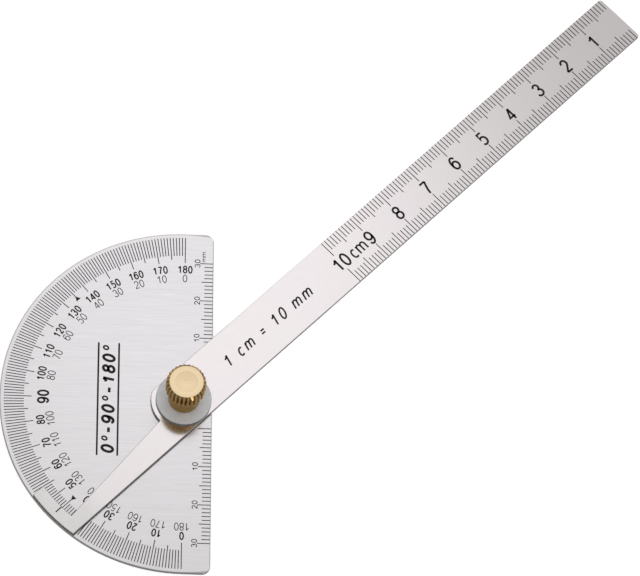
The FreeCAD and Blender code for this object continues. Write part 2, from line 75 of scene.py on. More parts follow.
# Part of a pattern's range that its dark and bright ends span
PATTERN_DARK = 0.3
PATTERN_BRIGHT = 0.7

# Where the finishes change
SIDE_BLEND = 0.25
RIM_BEVEL = 0.24 * MM
EDGE_BEVEL = 0.2 * MM
FOOT_START = 32 * MM
FOOT_END = 39 * MM
COLLAR_LIMIT = 4.1 * MM

# Stage
FLOOR_HEIGHT = -0.05 * MM
PAPER_SHADE = 0.86
PAPER_LIFT = 0.6
FULL_SKY_HEIGHT = 0.8
ROOM_TINT = (1.0, 0.995, 0.965)
SOFTBOX_TINT = (1.0, 0.975, 1.0)
SPARKLE_TINT = (1.0, 0.97, 0.9)
SENSOR_WIDTH = 36.0
CLIP_NEAR = 0.05
CLIP_FAR = 20.0


def linear(code):
    """Linear colour of an sRGB hex value such as #D8D7D6."""
    shares = [int(code[i:i + 2], 16) / 255 for i in (1, 3, 5)]
    return [s / 12.92 if s <= 0.04045 else ((s + 0.055) / 1.055) ** 2.4 for s in shares]


def size(name, description, millimetres):
    return bpy.props.FloatProperty(
        name=name, description=description, default=millimetres * MM, unit="LENGTH", precision=5)


def colour(name, description, code):
    return bpy.props.FloatVectorProperty(
        name=name, description=description, default=linear(code), size=3, subtype="COLOR", min=0, max=1)


def amount(name, description, value):
    return bpy.props.FloatProperty(name=name, description=description, default=value, min=0)


def spot(name, description, metres):
    return bpy.props.FloatVectorProperty(
        name=name, description=description, default=metres, size=3, subtype="TRANSLATION")


class ScaleSizes(bpy.types.PropertyGroup):
    """Sizes of the inked lines"""
    rim_margin: size("Rim margin", "Bare rim outside the degree lines", 1.0)
    degree_line: size("Degree line", "Length of a one degree line", 4.9)
    five_degree_line: size("Five degree line", "Length of a line at an odd five degrees", 5.9)
    ten_degree_line: size("Ten degree line", "Length of a line at ten degrees", 6.8)
    line_width: size("Line width", "Width of every graduation", 0.214)
    ink_fill: size("Ink fill", "Thickness of the ink in an etched line", 0.045)
    ink_sink: size("Ink sink", "How far the ink lies below the face", 0.01)
    edge_zero: size("Edge zero", "Pivot to the zero of each edge scale", 7.0)
    edge_line: size("Edge line", "Millimetre line on the straight edge", 2.2)
    edge_five: size("Edge five", "Five millimetre line on the straight edge", 2.9)
    edge_ten: size("Edge ten", "Ten millimetre line on the straight edge", 3.3)
    arm_reach: size("Arm reach", "Pivot to the arm's square end", 154.25)
    arm_width: size("Arm width", "Width of the arm", 13.9)
    arm_line: size("Arm line", "Millimetre line on the arm", 3.05)
    arm_five: size("Arm five", "Five millimetre line on the arm", 4.05)
    arm_ten: size("Arm ten", "Ten millimetre line on the arm", 4.6)
    edge_break: size("Edge break", "Bevel of the sheet edges, left free of ink", 0.1)
    index_middle: size("Index middle", "Pivot to the middle of the index line on the foot", 42.15)
    index_length: size("Index length", "Length of the index line", 2.05)
    index_width: size("Index width", "Width of the index line", 0.29)


class PrintSizes(bpy.types.PropertyGroup):
    """Places and sizes of the printed numbers and marks"""
    print_depth: size("Print depth", "Thickness of the print", 0.03)
    print_proud: size("Print proud", "How far the print stands above the face", 0.012)
    outer_numbers: size("Outer numbers", "Pivot to the outer degree numbers", 35.25)
    inner_numbers: size("Inner numbers", "Pivot to the inner degree numbers", 32.85)
    ninety: size("Ninety", "Pivot to the large 90", 34.2)
    arrow_tip: size("Arrow tip", "Pivot to the tips of the two arrows", 38.04)
    arrow_height: size("Arrow height", "Height of an arrow", 1.2)
    arrow_width: size("Arrow width", "Width of an arrow's base", 1.36)
    edge_numbers: size("Edge numbers", "Pivot to the line of the edge scales' numbers", 3.05)
    unit_across: size("Unit across", "Pivot to the edge scale's unit, across the edge", 4.55)
    unit_along: size("Unit along", "Pivot to the edge scale's unit, along the edge", 38.8)
    title: size("Title", "Pivot to the middle of the range title", 18.35)
    near_rule: size("Near rule", "Pivot to the rule on the title's near side", 15.9)
    far_rule: size("Far rule", "Pivot to the rule on the title's far side", 20.9)
    rule_length: size("Rule length", "Length of the two rules", 29.8)
    rule_width: size("Rule width", "Width of the two rules", 0.44)
    arm_shift: size("Arm shift", "The arm's numbers off its middle line", -0.2)
    arm_ten: size("Arm number 10", "Pivot to the arm's number 10", 54.4)
    arm_unit: size("Arm unit", "Pivot to the arm's unit", 60.0)
    arm_note: size("Arm note", "Pivot to the middle of the note on the arm", 29.0)


class FinishColours(bpy.types.PropertyGroup):
    """Colours of the metals and the ink"""
    head_steel: colour("Head steel", "Brushed stainless sheet of the head", "#EAE8EC")
    arm_steel: colour("Arm steel", "Satin stainless strip of the arm", "#EAE5E8")
    # Dark grey of the sheared sides: partly the duller cut steel, partly painted shade on the upright
    # sides. Also painted at half strength as a thin band along the head's rim and straight edge.
    cut_steel: colour("Cut steel", "Sheared sides of head and arm", "#626063")
    # Painted shade: near black on the arm's sides where they run over the head and on the washer's rim,
    # where shade falls between the parts.
    grime: colour("Grime", "Oil and dust on sides that run over another piece", "#2E2826")
    stud_steel: colour("Stud steel", "Turned steel of the stud", "#B9B9BA")
    washer_steel: colour("Washer steel", "Tumbled steel of the washer", "#E8EBF1")
    nut_brass: colour("Nut brass", "Turned and knurled brass", "#FCE4BC")
    # Painted shade for the nut's upright sides: the knurl and the collar take this darker brass, partly
    # dust and oil in the flutes and partly painted shade.
    nut_shade: colour("Nut shade", "Brass dulled in the flutes and on the collar", "#8A7049")
    nut_glint: colour("Nut glint", "Tint of the brass where it is seen at a slant", "#FFEACB")
    ink: colour("Ink", "Black enamel in lines and numbers", "#1E1C1D")


class StageSettings(bpy.types.PropertyGroup):
    """Camera and light"""
    camera_place: spot("Camera place", "Where the camera stands", (-0.07938, -0.56902, 1.34743))
    camera_turn: bpy.props.FloatVectorProperty(
        name="Camera turn", description="How the camera is turned", size=3, subtype="EULER",
        default=[math.radians(angle) for angle in (23.9532, -4.8633, 0.1748)])
    lens: amount("Lens", "Focal length on a 36 mm wide sensor, in mm", 337.5)
    sky: amount("Sky", "Brightness overhead", 0.62)
    horizon: amount("Horizon", "Brightness of the room at the horizon", 0.6)
    softbox: amount("Softbox", "Brightness of each of the softbox's nested discs", 0.1)
    softbox_place: spot("Softbox place", "Middle of the lowest disc", (0.05, 0.372, 0.75))
    softbox_size: size("Softbox size", "Width of the lowest and smallest disc", 140)
    disc_growth: size("Disc growth", "How much wider each disc is than the one below", 50)
    disc_spacing: size("Disc spacing", "Height of each disc above the one below", 10)
    sparkle: amount("Sparkle", "Brightness of the low lamp at the front right", 4.0)
    sparkle_place: spot("Sparkle place", "Middle of the low lamp", (0.25, -0.46, 0.2))
    sparkle_size: size("Sparkle size", "Width of the low lamp", 100)
    floor_size: size("Floor size", "Side of the floor", 4000)


GROUPS = {
    "angle_finder_scales": ScaleSizes,
    "angle_finder_prints": PrintSizes,
    "angle_finder_colours": FinishColours,
    "angle_finder_stage": StageSettings,
}


def scale_sizes():
    return bpy.context.scene.angle_finder_scales


def print_sizes():
    return bpy.context.scene.angle_finder_prints


def finish_colours():
    return bpy.context.scene.angle_finder_colours


# Node trees

def add_node(tree, kind, settings=None, inputs=None, output=0):
    """Adds a node with its settings, and with its sockets set or linked by name or number.

    It gives one of the node's outputs, or the node itself if it has none.
    """
    node = tree.nodes.new(kind)
    for key, value in (settings or {}).items():
        setattr(node, key, value)
    for key, value in (inputs or {}).items():
        if isinstance(value, bpy.types.NodeSocket):
            tree.links.new(value, node.inputs[key])
        else:
            node.inputs[key].default_value = value
    return node.outputs[output] if node.outputs else node


def new_material(name):
    """Material with an empty tree."""
    material = bpy.data.materials.new(name)
    material.use_nodes = True
    material.node_tree.nodes.clear()
    return material, material.node_tree


def lay_surface(tree, inputs):
    """Ends a material's tree with these inputs. What is the same all over is a plain value."""
    shader = add_node(tree, "ShaderNodeBsdfPrincipled", None, inputs)
    add_node(tree, "ShaderNodeOutputMaterial", None, {"Surface": shader})


def rgba(shade):
    return (*shade, 1.0)


def toned(shade, *factors):
    """Colour whose parts are multiplied by one factor, or by one each, up to white."""
    factors = factors if len(factors) > 1 else factors * 3
    return rgba([min(1.0, part * factor) for part, factor in zip(shade, factors)])


def streaks(tree, turn, across, along, detail=2.0):
    """Grain whose streaks run at an angle from X. across and along are its sizes in metres."""
    place = add_node(tree, "ShaderNodeTexCoord", output="Object")
    turned = add_node(tree, "ShaderNodeMapping", {"vector_type": "TEXTURE"}, {
        "Vector": place, "Rotation": (0, 0, turn), "Scale": (along, across, across)})
    return add_node(tree, "ShaderNodeTexNoise", None, {
        "Vector": turned, "Scale": 1.0, "Detail": detail, "Roughness": 0.6}, "Fac")


def clouds(tree, across, detail):
    """Even mottle of that size in metres."""
    place = add_node(tree, "ShaderNodeTexCoord", output="Object")
    return add_node(tree, "ShaderNodeTexNoise", None, {
        "Vector": place, "Scale": 1 / across, "Detail": detail}, "Fac")


def turning_rings(tree, pitch):
    """Noise that changes only with the distance from the pivot axis and with height."""
    place = add_node(tree, "ShaderNodeTexCoord", output="Object")
    height = add_node(tree, "ShaderNodeSeparateXYZ", None, {0: place}, "Z")
    lathe = add_node(tree, "ShaderNodeCombineXYZ", None, {0: pivot_distance(tree), 2: height})
    return add_node(tree, "ShaderNodeTexNoise", None, {
        "Vector": lathe, "Scale": 1 / pitch, "Detail": 2.0}, "Fac")


def blended(tree, first, second, share):
    """Sum of two patterns, where share is the first one's part."""
    rest = add_node(tree, "ShaderNodeMath", {"operation": "MULTIPLY"}, {0: second, 1: 1 - share})
    return add_node(tree, "ShaderNodeMath", {"operation": "MULTIPLY_ADD"}, {0: first, 1: share, 2: rest})


def spread(tree, pattern, low, high):
    """Value from low to high as the middle of a pattern goes from dark to bright."""
    return add_node(tree, "ShaderNodeMapRange", None, {
        "Value": pattern, "From Min": PATTERN_DARK, "From Max": PATTERN_BRIGHT,
        "To Min": low, "To Max": high})


def mottled(tree, pattern, dark, bright, reach=1.0):
    """Colour that follows a pattern from one colour to the other, or part of the way."""
    share = spread(tree, pattern, 0.0, reach)
    return add_node(tree, "ShaderNodeMix", {"data_type": "RGBA"}, {0: share, 6: dark, 7: bright}, 2)


def grain_direction(tree, turn):
    """World vector of the brushing direction, which turns with the piece."""
    along = add_node(tree, "ShaderNodeCombineXYZ", None, {0: math.cos(turn), 1: math.sin(turn)})
    return add_node(tree, "ShaderNodeVectorTransform", {
        "vector_type": "VECTOR", "convert_from": "OBJECT", "convert_to": "WORLD"}, {0: along})


def pivot_distance(tree):
    """Distance from the pivot axis."""
    place = add_node(tree, "ShaderNodeTexCoord", output="Object")
    flat = add_node(tree, "ShaderNodeVectorMath", {"operation": "MULTIPLY"}, {0: place, 1: (1, 1, 0)})
    return add_node(tree, "ShaderNodeVectorMath", {"operation": "LENGTH"}, {0: flat}, "Value")


def side_share(tree, steep=0.55):
    """1 where faces are upright, 0 where they are flat, blended between."""
    normal = add_node(tree, "ShaderNodeTexCoord", output="Normal")
    height = add_node(tree, "ShaderNodeSeparateXYZ", None, {0: normal}, "Z")
    flatness = add_node(tree, "ShaderNodeMath", {"operation": "ABSOLUTE"}, {0: height})
    return add_node(tree, "ShaderNodeMapRange", None, {
        "Value": flatness, "From Min": steep, "From Max": steep + SIDE_BLEND, "To Min": 1.0, "To Max": 0.0})


def corner_share(tree):
    """1 on the head's broken edges, at its rim and at its straight edge, and 0 inside them."""
    place = add_node(tree, "ShaderNodeTexCoord", output="Object")
    across = add_node(tree, "ShaderNodeSeparateXYZ", None, {0: place}, "X")
    at_rim = add_node(tree, "ShaderNodeMath", {"operation": "GREATER_THAN"}, {
        0: pivot_distance(tree), 1: RIM_RADIUS - RIM_BEVEL})
    at_edge = add_node(tree, "ShaderNodeMath", {"operation": "GREATER_THAN"}, {
        0: across, 1: EDGE_X - EDGE_BEVEL})
    return add_node(tree, "ShaderNodeMath", {"operation": "MAXIMUM"}, {0: at_rim, 1: at_edge})


def foot_share(tree):
    """1 on the arm's foot, out by the degree lines, and 0 on the rest of the arm."""
    place = add_node(tree, "ShaderNodeTexCoord", output="Object")
    parts = add_node(tree, "ShaderNodeSeparateXYZ", None, {0: place}).node.outputs
    along = add_node(tree, "ShaderNodeMath", {"operation": "ADD"}, {0: parts[0], 1: parts[1]})
    behind = add_node(tree, "ShaderNodeMath", {"operation": "LESS_THAN"}, {0: along, 1: 0.0})
    far = add_node(tree, "ShaderNodeMapRange", {"interpolation_type": "SMOOTHSTEP"}, {
        "Value": pivot_distance(tree), "From Min": FOOT_START, "From Max": FOOT_END})
    return add_node(tree, "ShaderNodeMath", {"operation": "MULTIPLY"}, {0: behind, 1: far})


def knurl_wave(tree):
    """1 along the middle of each knurl flute, 0 along each crest, at any height."""
    place = add_node(tree, "ShaderNodeTexCoord", output="Object")
    parts = add_node(tree, "ShaderNodeSeparateXYZ", None, {0: place}).node.outputs
    angle = add_node(tree, "ShaderNodeMath", {"operation": "ARCTAN2"}, {0: parts[1], 1: parts[0]})
    phase = add_node(tree, "ShaderNodeMath", {"operation": "MULTIPLY"}, {0: angle, 1: KNURL_COUNT})
    wave = add_node(tree, "ShaderNodeMath", {"operation": "COSINE"}, {0: phase})
    return add_node(tree, "ShaderNodeMath", {"operation": "MULTIPLY_ADD"}, {0: wave, 1: 0.5, 2: 0.5})


# Materials

def brushed_stainless(colours):
    """Stainless sheet brushed on a belt.

    The belt leaves long straight scratches along X, so the face is streaked and its
    highlight spreads across them. The real scratches are 0.03 to 0.1 mm wide, and are
    drawn a little coarser to show. The sheared sides are painted dark grey, partly the
    duller cut steel and partly painted shade. A thin band along the rim and the straight
    edge is painted half as dark, as a painted reflection of the rounded corner.
    """
    material, tree = new_material("stainless_sheet_brushed")
    fine = streaks(tree, 0.0, 0.08 * MM, 5 * MM)
    coarse = streaks(tree, 0.0, 0.3 * MM, 14 * MM)
    grain = blended(tree, fine, coarse, 0.65)
    face = colours.head_steel
    sheet = mottled(tree, grain, toned(face, 0.96), toned(face, 1.03))
    sheet = mottled(tree, clouds(tree, 30 * MM, 1.0), sheet, rgba(face), 0.35)
    cut = rgba(colours.cut_steel)
    # Painted reflection: a thin dark band at the rim and the straight edge stands in for the rounded corner
    # mirroring dark surroundings.
    corner = add_node(tree, "ShaderNodeMath", {"operation": "MULTIPLY"}, {0: corner_share(tree), 1: 0.5})
    sheet = add_node(tree, "ShaderNodeMix", {"data_type": "RGBA"}, {0: corner, 6: sheet, 7: cut}, 2)
    # The upright sheared sides take the dark grey: partly cut steel, partly painted shade.
    side = side_share(tree)
    shade = add_node(tree, "ShaderNodeMix", {"data_type": "RGBA"}, {0: side, 6: sheet, 7: cut}, 2)
    rough = add_node(tree, "ShaderNodeMath", {"operation": "MULTIPLY_ADD"}, {
        0: side, 1: 0.2, 2: spread(tree, grain, 0.24, 0.18)})
    scratched = add_node(tree, "ShaderNodeBump", None, {
        "Height": grain, "Distance": 0.001 * MM, "Strength": 0.25})
    lay_surface(tree, {
        "Base Color": shade, "Metallic": 1.0, "Roughness": rough, "Anisotropic": 0.55,
        "Tangent": grain_direction(tree, 0.0), "Normal": scratched})
    return material


def satin_stainless(colours):
    """Stainless strip with a fine satin roll finish.

    It is smoother and brighter than the head, with a faint grain along the arm and a
    slow change of tone. Its foot, out by the degree lines, is darker and blotchy. Its
    sheared sides are painted dark grey, partly the duller cut steel and partly painted
    shade, and near black where they run over the head, as painted shade between the parts.
    """
    material, tree = new_material("stainless_strip_satin")
    fine = streaks(tree, ARM_ANGLE, 0.08 * MM, 2.5 * MM, 1.0)
    grain = blended(tree, fine, clouds(tree, 0.25 * MM, 2.0), 0.6)
    face = colours.arm_steel
    strip = mottled(tree, grain, toned(face, 0.95), toned(face, 1.02))
    strip = mottled(tree, clouds(tree, 22 * MM, 1.0), strip, toned(face, 0.985, 1.0, 0.96), 0.6)
    # The foot, out by the degree lines, is darker and blotchy.
    foot_blotches = spread(tree, clouds(tree, 2.5 * MM, 3.0), 0.55, 1.0)
    dulled = add_node(tree, "ShaderNodeMath", {"operation": "MULTIPLY"}, {0: foot_share(tree), 1: foot_blotches})
    strip = add_node(tree, "ShaderNodeMix", {"data_type": "RGBA"}, {
        0: dulled, 6: strip, 7: toned(face, 0.86, 0.9, 0.87)}, 2)
    side = side_share(tree)
    over_head = add_node(tree, "ShaderNodeMath", {"operation": "LESS_THAN"}, {
        0: pivot_distance(tree), 1: RIM_RADIUS})
    # Painted shade: the sides are near black where they run over the head, and dark grey elsewhere.
    edge = add_node(tree, "ShaderNodeMix", {"data_type": "RGBA"}, {
        0: over_head, 6: rgba(colours.cut_steel), 7: rgba(colours.grime)}, 2)
    shade = add_node(tree, "ShaderNodeMix", {"data_type": "RGBA"}, {0: side, 6: strip, 7: edge}, 2)
    rough = add_node(tree, "ShaderNodeMath", {"operation": "MULTIPLY_ADD"}, {
        0: side, 1: 0.3, 2: spread(tree, grain, 0.15, 0.11)})
    # Painted shade: where the sides run over the head they lose their metal, so they stay dark.
    painted_shade_share = add_node(tree, "ShaderNodeMath", {"operation": "MULTIPLY"}, {0: side, 1: over_head})
    bare = add_node(tree, "ShaderNodeMath", {"operation": "SUBTRACT"}, {0: 1.0, 1: painted_shade_share})
    rolled = add_node(tree, "ShaderNodeBump", None, {
        "Height": grain, "Distance": 0.001 * MM, "Strength": 0.4})
    lay_surface(tree, {
        "Base Color": shade, "Metallic": bare, "Roughness": rough, "Specular IOR Level": 0.1,
        "Anisotropic": 0.3, "Tangent": grain_direction(tree, ARM_ANGLE), "Normal": rolled})
    return material


def tumbled_steel(colours):
    """Plain washer stamped from mild steel and tumbled.

    Its faces are dull, grey and faintly mottled, and its upright rim is painted near black as painted
    shade.
    """
    material, tree = new_material("washer_steel_tumbled")
    mottle = clouds(tree, 0.5 * MM, 4.0)
    tone = blended(tree, mottle, clouds(tree, 4 * MM, 2.0), 0.5)
    face = colours.washer_steel
    shade = mottled(tree, tone, toned(face, 0.86), toned(face, 1.08))
    # Painted shade: the upright rim is near black.
    side = side_share(tree)
    shade = add_node(tree, "ShaderNodeMix", {"data_type": "RGBA"}, {
        0: side, 6: shade, 7: rgba(colours.grime)}, 2)
    bare = add_node(tree, "ShaderNodeMath", {"operation": "MULTIPLY_ADD"}, {0: side, 1: -0.25, 2: 0.25})
    pitted = add_node(tree, "ShaderNodeBump", None, {
        "Height": mottle, "Distance": 0.004 * MM, "Strength": 0.4})
    lay_surface(tree, {
        "Base Color": shade, "Metallic": bare, "Roughness": spread(tree, mottle, 0.46, 0.36),
        "Normal": pitted})
    return material


def turned_steel(colours):
    """Stud turned from steel bar: fine rings round its axis on its flush head."""
    material, tree = new_material("stud_steel_turned")
    rings = turning_rings(tree, 0.12 * MM)
    face = colours.stud_steel
    grooved = add_node(tree, "ShaderNodeBump", None, {
        "Height": rings, "Distance": 0.004 * MM, "Strength": 0.5})
    lay_surface(tree, {
        "Base Color": mottled(tree, rings, toned(face, 0.85), rgba(face)), "Metallic": 1.0,
        "Roughness": spread(tree, rings, 0.4, 0.3), "Normal": grooved})
    return material


def turned_brass(colours):
    """Free-cutting brass, turned and knurled, left unlacquered.

    The faced top is bright with faint rings from the tool. The knurl and the collar
    are painted a deeper gold, as painted shade on the upright sides. The flutes are
    darker still, partly dust and oil and partly painted shade, the crests lighter as
    painted highlights, and the collar is mottled.
    """
    material, tree = new_material("nut_brass_turned")
    rings = turning_rings(tree, 0.7 * MM)
    face = colours.nut_brass
    top = mottled(tree, rings, toned(face, 0.96), rgba(face))
    crest = spread(tree, knurl_wave(tree), 1.0, 0.0)
    worn = spread(tree, clouds(tree, 1.2 * MM, 3.0), 0.5, 1.0)
    collar = add_node(tree, "ShaderNodeMath", {"operation": "LESS_THAN"}, {
        0: pivot_distance(tree), 1: COLLAR_LIMIT})
    # Painted highlight and shade on the knurl: the crests take the lighter brass and the flutes the darker,
    # partly dust. On the collar the mix follows random wear.
    crest_sheen_and_wear = add_node(tree, "ShaderNodeMix", {"data_type": "FLOAT"}, {0: collar, 2: crest, 3: worn})
    dark = toned(colours.nut_shade, 0.55, 0.62, 0.85)
    flank = add_node(tree, "ShaderNodeMix", {"data_type": "RGBA"}, {
        0: crest_sheen_and_wear, 6: dark, 7: toned(colours.nut_shade, 1.55)}, 2)
    # Painted shade: the upright sides take the darker brass, the flat top the plain brass.
    side = side_share(tree, 0.72)
    shade = add_node(tree, "ShaderNodeMix", {"data_type": "RGBA"}, {0: side, 6: top, 7: flank}, 2)
    rough = add_node(tree, "ShaderNodeMath", {"operation": "MULTIPLY_ADD"}, {
        0: side, 1: -0.06, 2: spread(tree, rings, 0.3, 0.22)})
    grooved = add_node(tree, "ShaderNodeBump", None, {
        "Height": rings, "Distance": 0.004 * MM, "Strength": 0.12})
    lay_surface(tree, {
        "Base Color": shade, "Metallic": 1.0, "Roughness": rough,
        "Specular Tint": rgba(colours.nut_glint), "Normal": grooved})
    return material


def black_enamel(colours):
    """Black enamel wiped into etched lines: nearly matt, slightly uneven."""
    material, tree = new_material("scale_enamel_black")
    patchy = clouds(tree, 0.7 * MM, 2.0)
    lay_surface(tree, {
        "Base Color": mottled(tree, patchy, rgba(colours.ink), toned(colours.ink, 1.7)),
        "Roughness": spread(tree, patchy, 0.5, 0.62), "Specular IOR Level": 0.3})
    return material


def paper_floor():
    """Seamless white paper, which the camera and glossy rays see as pure white.

    The extra white is only in what is seen, so it adds no light to the object, and the
    shadow stays.
    """
    material, tree = new_material("studio_paper_white")
    rays = add_node(tree, "ShaderNodeLightPath").node.outputs
    seen = rays["Is Camera Ray"]
    for kind in ("Is Glossy Ray", "Is Transmission Ray"):
        seen = add_node(tree, "ShaderNodeMath", {"operation": "MAXIMUM"}, {0: seen, 1: rays[kind]})
    strength = add_node(tree, "ShaderNodeMath", {"operation": "MULTIPLY"}, {0: seen, 1: PAPER_LIFT})
    paper = add_node(tree, "ShaderNodeBsdfDiffuse", None, {"Color": rgba([PAPER_SHADE] * 3)})
    lift = add_node(tree, "ShaderNodeEmission", None, {"Strength": strength})
    both = add_node(tree, "ShaderNodeAddShader", None, {0: paper, 1: lift})
    add_node(tree, "ShaderNodeOutputMaterial", None, {"Surface": both})
    return material


def ink_material():
    """The enamel that all the ink pieces share."""
    return bpy.data.materials.get("scale_enamel_black") or black_enamel(finish_colours())


def dress(node, material):
    """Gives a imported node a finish."""
    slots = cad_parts[node].data.materials
    slots.clear()
    slots.append(material)


# Meshes

def finish_piece(name, mesh, body):
    """Object for a finished mesh, at the origin, riding on its body."""
    mesh.name = name
    piece = bpy.data.objects.new(name, mesh)
    bpy.context.scene.collection.objects.link(piece)
    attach(piece, body)


def inked_mesh(build):
    """Mesh of enamel from a build, which it frees."""
    mesh = bpy.data.meshes.new("ink")
    build.to_mesh(mesh)
    build.free()
    mesh.materials.append(ink_material())
    return mesh


def join_meshes(parts):
    """One inked mesh from pairs of a mesh and its place."""
    build = bmesh.new()
    for mesh, place in parts:
        mesh.transform(place)
        build.from_mesh(mesh)
        bpy.data.meshes.remove(mesh)
    return inked_mesh(build)


def bake_tree(tree, values):
    """Plain mesh that a geometry tree makes with these inputs."""
    holder = bpy.data.objects.new("holder", bpy.data.meshes.new("holder"))
    bpy.context.scene.collection.objects.link(holder)
    modifier = holder.modifiers.new("tree", "NODES")
    modifier.node_group = tree
    for item in tree.interface.items_tree:
        if item.item_type == "SOCKET" and item.in_out == "INPUT" and item.name in values:
            modifier[item.identifier] = values[item.name]
    graph = bpy.context.evaluated_depsgraph_get()
    mesh = bpy.data.meshes.new_from_object(holder.evaluated_get(graph), depsgraph=graph)
    holder.modifiers.clear()
    bpy.data.objects.remove(holder)
    return mesh


def line_tree(name, own_sizes, place):
    """Geometry tree that draws numbered graduations, longer at every fifth and tenth.

    own_sizes are the inputs that only this layout has. place takes the tree, the group
    input's outputs, and each line's number, index, length and middle height. It gives the
    line's position and turn.
    """
    tree = bpy.data.node_groups.new(name, "GeometryNodeTree")
    kinds = {"Lines": "NodeSocketInt", "First number": "NodeSocketInt", "Ink": "NodeSocketMaterial"}
    for label in ("Plain", "Five", "Ten", "Width", "Thickness", "Top", *own_sizes):
        kinds[label] = "NodeSocketFloat"
    for label, kind in kinds.items():
        tree.interface.new_socket(label, in_out="INPUT", socket_type=kind)
    tree.interface.new_socket("Geometry", in_out="OUTPUT", socket_type="NodeSocketGeometry")
    given = add_node(tree, "NodeGroupInput").node.outputs
    index = add_node(tree, "GeometryNodeInputIndex")
    number = add_node(tree, "ShaderNodeMath", {"operation": "ADD"}, {0: index, 1: given["First number"]})
    length = line_length(tree, given, number)
    middle = add_node(tree, "ShaderNodeMath", {"operation": "MULTIPLY_ADD"}, {
        0: given["Thickness"], 1: -0.5, 2: given["Top"]})
    position, turn = place(tree, given, number, index, length, middle)
    points = add_node(tree, "GeometryNodePoints", None, {"Count": given["Lines"], "Position": position})
    block = add_node(tree, "GeometryNodeMeshCube", None, {"Size": (1, 1, 1)})
    scale = add_node(tree, "ShaderNodeCombineXYZ", None, {
        0: given["Width"], 1: length, 2: given["Thickness"]})
    lines = add_node(tree, "GeometryNodeInstanceOnPoints", None, {
        "Points": points, "Instance": block, "Rotation": turn, "Scale": scale})
    real = add_node(tree, "GeometryNodeRealizeInstances", None, {0: lines})
    inked = add_node(tree, "GeometryNodeSetMaterial", None, {"Geometry": real, "Material": given["Ink"]})
    add_node(tree, "NodeGroupOutput", None, {0: inked})
    return tree


def line_length(tree, given, number):
    """Length of each line: longer where its number divides by 5, longest where by 10."""
    length = given["Plain"]
    for step, longer, shorter in ((5, "Five", "Plain"), (10, "Ten", "Five")):
        extra = add_node(tree, "ShaderNodeMath", {"operation": "SUBTRACT"}, {
            0: given[longer], 1: given[shorter]})
        rest = add_node(tree, "ShaderNodeMath", {"operation": "MODULO"}, {0: number, 1: step})
        gap = add_node(tree, "ShaderNodeMath", {"operation": "ABSOLUTE"}, {0: rest})
        due = add_node(tree, "ShaderNodeMath", {"operation": "LESS_THAN"}, {0: gap, 1: 0.5})
        length = add_node(tree, "ShaderNodeMath", {"operation": "MULTIPLY_ADD"}, {
            0: extra, 1: due, 2: length})
    return length


def on_ring(tree, given, number, index, length, middle):
    """Radial lines inside a circle, numbered round from -Y by way of -X."""
    angle = add_node(tree, "ShaderNodeMath", {"operation": "MULTIPLY"}, {0: number, 1: given["Step"]})
    half = add_node(tree, "ShaderNodeMath", {"operation": "MULTIPLY"}, {0: length, 1: 0.5})
    inward = add_node(tree, "ShaderNodeMath", {"operation": "SUBTRACT"}, {
        0: half, 1: given["Outer radius"]})
    position = {2: middle}
    for axis, wave in enumerate(("SINE", "COSINE")):
        share = add_node(tree, "ShaderNodeMath", {"operation": wave}, {0: angle})
        position[axis] = add_node(tree, "ShaderNodeMath", {"operation": "MULTIPLY"}, {
            0: inward, 1: share})
    back = add_node(tree, "ShaderNodeMath", {"operation": "MULTIPLY"}, {0: angle, 1: -1.0})
    turn = add_node(tree, "ShaderNodeCombineXYZ", None, {2: back})
    return add_node(tree, "ShaderNodeCombineXYZ", None, position), turn


def on_row(tree, given, number, index, length, middle):
    """Lines a pitch apart along X, that stand on the X axis and run to +Y."""
    run = add_node(tree, "ShaderNodeMath", {"operation": "MULTIPLY"}, {0: index, 1: given["Pitch"]})
    rise = add_node(tree, "ShaderNodeMath", {"operation": "MULTIPLY"}, {0: length, 1: 0.5})
    turn = add_node(tree, "ShaderNodeCombineXYZ")
    return add_node(tree, "ShaderNodeCombineXYZ", None, {0: run, 1: rise, 2: middle}), turn


def row_of_lines(tree, lines, first, lengths, top):
    """Mesh of a straight scale, along X, with lines of three lengths."""
    sizes = scale_sizes()
    plain, five, ten = (length - sizes.edge_break for length in lengths)
    return bake_tree(tree, {
        "Lines": lines, "First number": first, "Ink": ink_material(), "Plain": plain, "Five": five,
        "Ten": ten, "Width": sizes.line_width, "Thickness": sizes.ink_fill,
        "Top": top - sizes.ink_sink, "Pitch": MM})


# Figures drawn with strokes, in a box of height 1 and width 1

def arc(x, y, wide, high, start, end, steps=14):
    """Points round an oval, from one angle in degrees to another."""
    turns = [math.radians(start + (end - start) * i / steps) for i in range(steps + 1)]
    return [(x + wide * math.cos(turn), y + high * math.sin(turn)) for turn in turns]


def oval(x, y, wide, high):
    """Closed round stroke."""
    return arc(x, y, wide, high, 90, 450, 28)


def half_turned(strokes):
    """The same strokes upside down."""
    return [[(1 - x, 1 - y) for x, y in stroke] for stroke in strokes]


